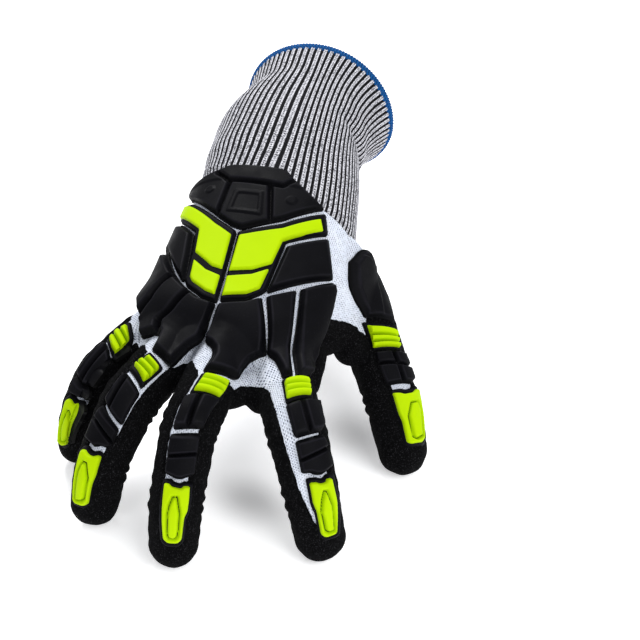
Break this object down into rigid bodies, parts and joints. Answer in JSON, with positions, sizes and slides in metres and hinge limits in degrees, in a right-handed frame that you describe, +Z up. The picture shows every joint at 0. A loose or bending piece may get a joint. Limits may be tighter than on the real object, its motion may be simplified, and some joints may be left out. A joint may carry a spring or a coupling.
{
  "type": "impact resistant work glove",
  "caption": "Right-hand knitted work glove with a dipped palm coat, ribbed cuff and moulded impact guards on its back, worn open.",
  "frame": {"origin": "middle of the wrist, where the worn hand holds the glove", "axes": "+Y towards the forearm and the cuff's mouth, fingers towards -Y, +Z up, +X to the thumb side"},
  "size_m": [0.1642, 0.2858, 0.1294],
  "materials": {
    "white_knit": "fine knit, white with a blue cast and small dark flecks",
    "rib_knit": "ribbed knit, light ribs with black valleys",
    "blue_yarn": "overlocked yarn",
    "black_coat": "sandy matte dip",
    "black_rubber": "satin moulded rubber",
    "lime_rubber": "satin moulded rubber, fluorescent yellow-green"
  },
  "bodies": {
    "root": {"hand_back_liner": "white_knit", "hand_palm_liner": "white_knit", "knuckle_palm_liner": "white_knit", "rib_cuff": "rib_knit", "cuff_hem": "blue_yarn", "pull_tab": "black_rubber", "palm_coating": "black_coat", "wrist_pad": "black_rubber", "thumb_side_panel": "black_rubber", "little_side_panel": "black_rubber", "middle_knuckle_guard": "black_rubber", "index_inner_guard": "black_rubber", "index_outer_guard": "black_rubber", "outer_knuckle_guard": "black_rubber", "thumb_back_guard": "black_rubber", "left_chevron_base": "black_rubber", "left_chevron_upper": "lime_rubber", "left_chevron_lower": "lime_rubber", "right_chevron_base": "black_rubber", "right_chevron_upper": "lime_rubber", "right_chevron_lower": "lime_rubber", "index_stall": "white_knit", "index_flex_base": "black_rubber", "index_flex_ribs": "lime_rubber", "index_root_pad": "black_rubber", "index_middle_pad": "black_rubber", "index_tip_base": "black_rubber", "index_tip_cap": "lime_rubber", "middle_stall": "white_knit", "middle_flex_base": "black_rubber", "middle_flex_ribs": "lime_rubber", "middle_root_pad": "black_rubber", "middle_middle_pad": "black_rubber", "middle_tip_base": "black_rubber", "middle_tip_cap": "lime_rubber", "ring_stall": "white_knit", "ring_flex_base": "black_rubber", "ring_flex_ribs": "lime_rubber", "ring_root_pad": "black_rubber", "ring_middle_pad": "black_rubber", "ring_tip_base": "black_rubber", "ring_tip_cap": "lime_rubber", "little_stall": "white_knit", "little_flex_base": "black_rubber", "little_flex_ribs": "lime_rubber", "little_root_pad": "black_rubber", "little_middle_pad": "black_rubber", "little_tip_base": "black_rubber", "little_tip_cap": "lime_rubber", "thumb_stall": "white_knit", "thumb_flex_base": "black_rubber", "thumb_flex_ribs": "lime_rubber", "thumb_root_pad": "black_rubber", "thumb_tip_base": "black_rubber", "thumb_tip_cap": "lime_rubber"}
  },
  "joints": []
}
